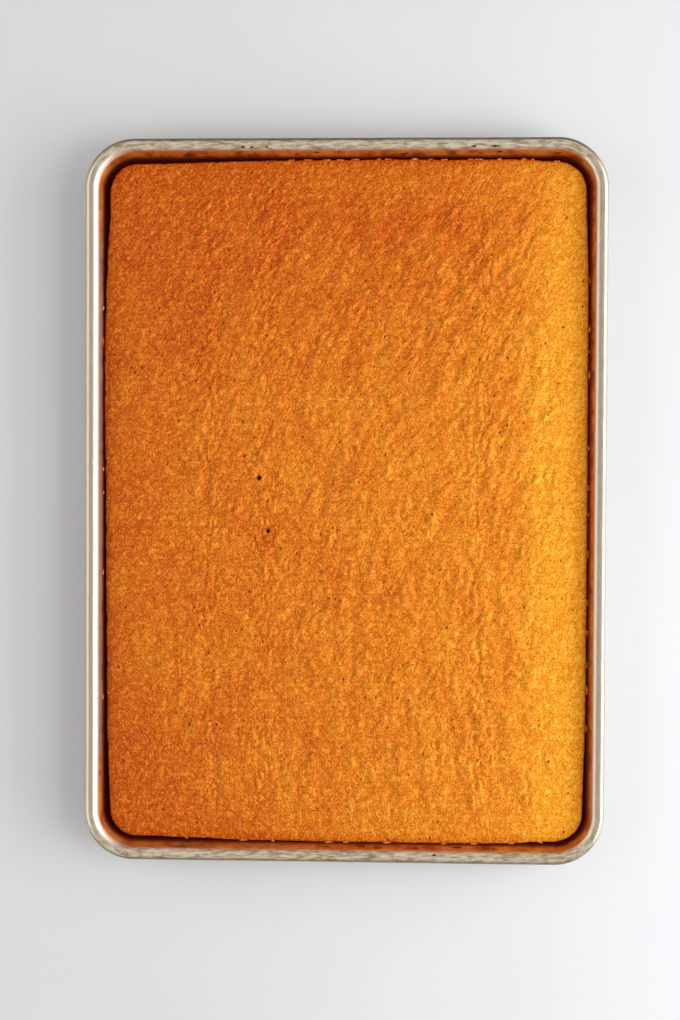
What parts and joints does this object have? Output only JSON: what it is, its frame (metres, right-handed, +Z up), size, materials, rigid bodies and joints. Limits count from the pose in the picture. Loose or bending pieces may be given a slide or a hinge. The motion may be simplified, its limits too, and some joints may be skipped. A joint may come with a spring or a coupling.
{
  "type": "sheet cake in its baking tin",
  "caption": "Plain orange-brown sheet cake with an uneven, softly domed top, uncut in its shallow rectangular aluminium tin with rolled rim and tapered sides.",
  "frame": {"origin": "on the table under the middle of the tin", "axes": "+Z up, +Y along the tin's long side, +X across it"},
  "size_m": [0.3276, 0.4546, 0.026],
  "materials": {
    "rolled_aluminium": "satin, worn, with brown baked-on stains on the inner walls",
    "baked_crumb": "moist satin crumb, orange-brown, stands for baked cake"
  },
  "bodies": {
    "root": {"tin": "rolled_aluminium", "cake": "baked_crumb"}
  },
  "joints": []
}
